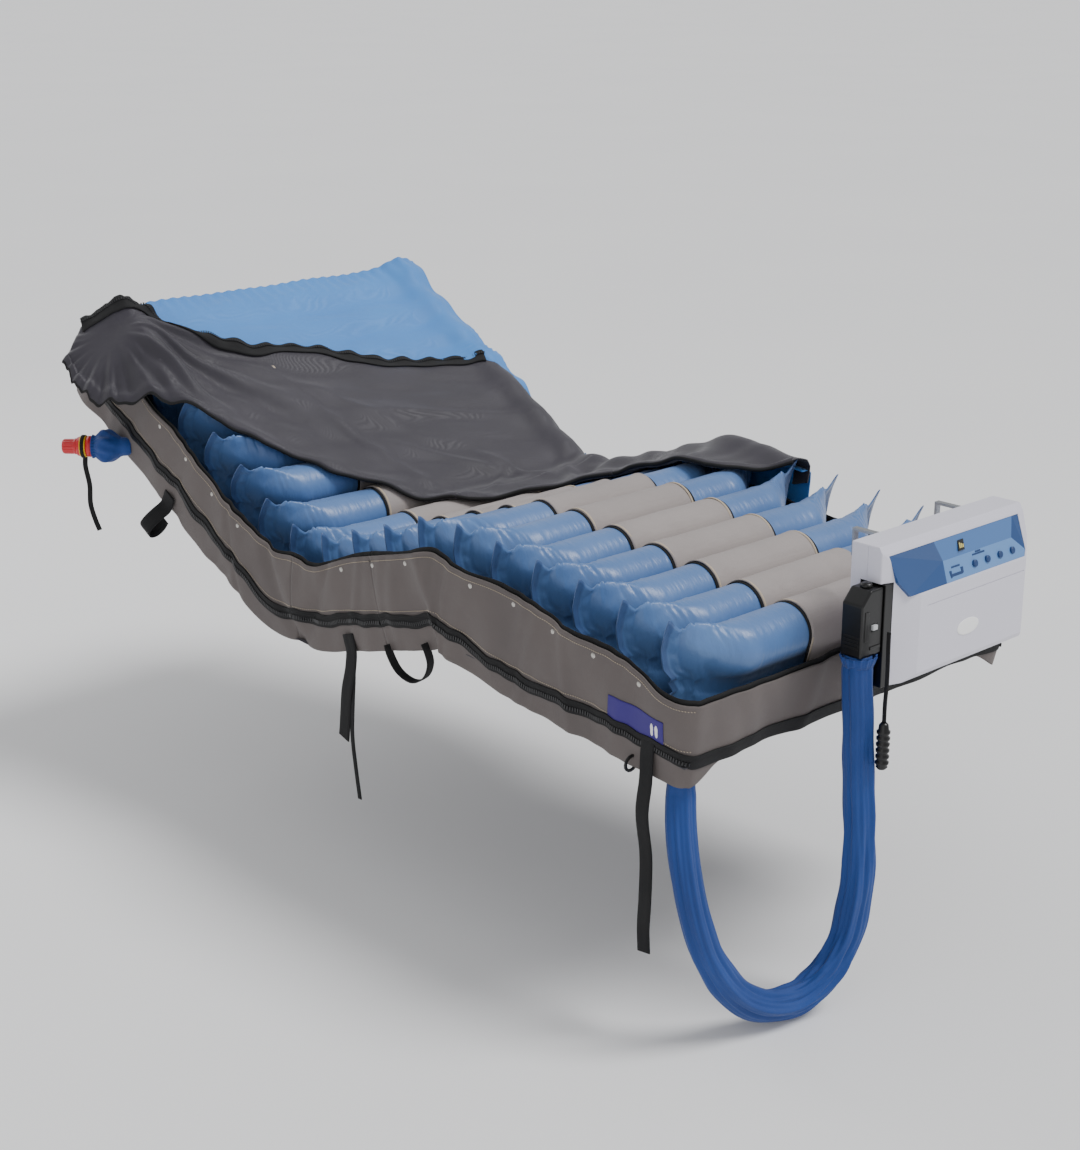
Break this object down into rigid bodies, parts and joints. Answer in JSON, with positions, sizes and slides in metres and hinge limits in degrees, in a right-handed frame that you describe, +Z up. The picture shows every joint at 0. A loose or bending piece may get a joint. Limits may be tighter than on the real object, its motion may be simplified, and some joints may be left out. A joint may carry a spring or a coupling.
{
  "type": "pressure relief mattress",
  "caption": "Air cell hospital mattress folded as on a profiling bed, with a zipped cover laid back, pump on the footboard, air hose, rescue valve and fixing straps.",
  "frame": {"origin": "middle of the underside of the seat section, on the bed deck", "axes": "+X towards the foot end, +Y to the far side, away from the hose, +Z up from the seat"},
  "size_m": [2.1192, 1.0288, 1.0682],
  "materials": {
    "cell_fabric": "satin",
    "loop_fabric": "matte",
    "cover_fabric": "matte",
    "top_cover_fabric": "matte",
    "webbing": "matte",
    "hose_fabric": "matte",
    "clear_tube": "satin",
    "pump_white": "satin",
    "panel_film": "satin",
    "button_film": "satin",
    "black_plastic": "satin",
    "grey_plastic": "satin",
    "valve_red": "satin",
    "steel": "satin"
  },
  "bodies": {
    "seat_section_and_pump": {"cover_seat": "cover_fabric", "cell_11": "cell_fabric", "cell_loops_seat": "loop_fabric", "top_cover_seat": "top_cover_fabric", "pump_front_shell": "pump_white", "pump_rear_shell": "pump_white", "control_panel": "panel_film", "compressor": "steel", "rotary_valve": "grey_plastic", "mains_inlet": "black_plastic", "hose_socket": "black_plastic", "quick_connector": "black_plastic", "air_hose": "hose_fabric"},
    "back_section": {"cover_back": "cover_fabric", "cell_12": "cell_fabric", "cell_13": "cell_fabric", "cell_14": "cell_fabric", "cell_15": "cell_fabric", "cell_16": "cell_fabric", "cell_17": "cell_fabric", "cell_18": "cell_fabric", "cell_loops_back": "loop_fabric", "top_cover_back": "top_cover_fabric", "air_line_back": "clear_tube", "cpr_sleeve": "hose_fabric", "cpr_valve_body": "valve_red", "strap_back": "webbing"},
    "thigh_section": {"cover_thigh": "cover_fabric", "cell_07": "cell_fabric", "cell_08": "cell_fabric", "cell_09": "cell_fabric", "cell_10": "cell_fabric", "cell_loops_thigh": "loop_fabric", "top_cover_thigh": "top_cover_fabric", "air_line_thigh": "clear_tube", "strap_seat": "webbing"},
    "foot_section": {"cover_foot": "cover_fabric", "cell_01": "cell_fabric", "cell_02": "cell_fabric", "cell_03": "cell_fabric", "cell_04": "cell_fabric", "cell_05": "cell_fabric", "cell_06": "cell_fabric", "cell_loops_foot": "loop_fabric", "air_line_foot": "clear_tube", "hose_gland": "black_plastic", "strap_foot": "webbing", "strap_ring": "black_plastic"},
    "hose_outlet": {"hose_cuff": "hose_fabric"},
    "zip_slider": {"zip_slider": "steel"},
    "rescue_valve_cap": {"cpr_cap": "valve_red"},
    "hook_near": {"hook_near": "steel"},
    "hook_far": {"hook_far": "steel"},
    "button_power": {"button_power": "button_film"},
    "button_softer": {"button_softer": "button_film"},
    "button_firmer": {"button_firmer": "button_film"},
    "button_static": {"button_static": "button_film"},
    "connector_latch": {"connector_latch": "grey_plastic"},
    "sealing_cap": {"cap_tether": "webbing", "transport_cap": "black_plastic"}
  },
  "joints": [
    {"name": "back_fold", "type": "hinge", "parent": "seat_section_and_pump", "child": "back_section", "pos_m": [-0.0594, 0, 0.205], "axis": [0, 1, 0], "range_deg": [-29.25, 40.75]},
    {"name": "thigh_fold", "type": "hinge", "parent": "seat_section_and_pump", "child": "thigh_section", "pos_m": [0.0594, 0, 0.205], "axis": [0, -1, 0], "range_deg": [-17.76, 6.24]},
    {"name": "knee_fold", "type": "hinge", "parent": "thigh_section", "child": "foot_section", "pos_m": [0.44951, 0, 0.2848], "axis": [0, 1, 0], "range_deg": [-23.6, 8.4]},
    {"name": "hose_outlet_slide", "type": "slide", "parent": "seat_section_and_pump", "child": "hose_outlet", "axis": [-0.5334, 0, 0.8459], "range_m": [-0.0702, 0.0247], "deforming": ["air_hose"]},
    {"name": "zip_slide", "type": "slide", "parent": "back_section", "child": "zip_slider", "axis": [0.8725, 0, -0.4886], "range_m": [0, 0.6]},
    {"name": "rescue_valve_turn", "type": "hinge", "parent": "back_section", "child": "rescue_valve_cap", "pos_m": [-0.61211, -0.455, 0.30479], "axis": [-0.7071, -0.7071, 0], "range_deg": [0, 90]},
    {"name": "hook_near_swing", "type": "hinge", "parent": "seat_section_and_pump", "child": "hook_near", "pos_m": [1.163, -0.02, 0.378], "axis": [0, 0, 1], "range_deg": [-90, 0]},
    {"name": "hook_far_swing", "type": "hinge", "parent": "seat_section_and_pump", "child": "hook_far", "pos_m": [1.163, 0.22, 0.378], "axis": [0, 0, 1], "range_deg": [0, 90]},
    {"name": "button_power_press", "type": "slide", "parent": "seat_section_and_pump", "child": "button_power", "axis": [-0.9615, 0, -0.2747], "range_m": [0, 0.0012], "stiffness_N_per_m": 600},
    {"name": "button_softer_press", "type": "slide", "parent": "seat_section_and_pump", "child": "button_softer", "axis": [-0.9615, 0, -0.2747], "range_m": [0, 0.0012], "stiffness_N_per_m": 600},
    {"name": "button_firmer_press", "type": "slide", "parent": "seat_section_and_pump", "child": "button_firmer", "axis": [-0.9615, 0, -0.2747], "range_m": [0, 0.0012], "stiffness_N_per_m": 600},
    {"name": "button_static_press", "type": "slide", "parent": "seat_section_and_pump", "child": "button_static", "axis": [-0.9615, 0, -0.2747], "range_m": [0, 0.0012], "stiffness_N_per_m": 600},
    {"name": "latch_press", "type": "slide", "parent": "seat_section_and_pump", "child": "connector_latch", "axis": [-1, 0, 0], "range_m": [0, 0.003], "stiffness_N_per_m": 600},
    {"name": "sealing_cap_swing", "type": "hinge", "parent": "seat_section_and_pump", "child": "sealing_cap", "pos_m": [1.264, -0.113, 0.262], "axis": [0, -1, 0], "range_deg": [0, 60]}
  ],
  "couplings": [
    {"joint": "knee_fold", "follows": "thigh_fold", "ratio": 1.3226},
    {"joint": "hose_outlet_slide", "follows": "thigh_fold", "m_per_rad": 0.2256}
  ]
}
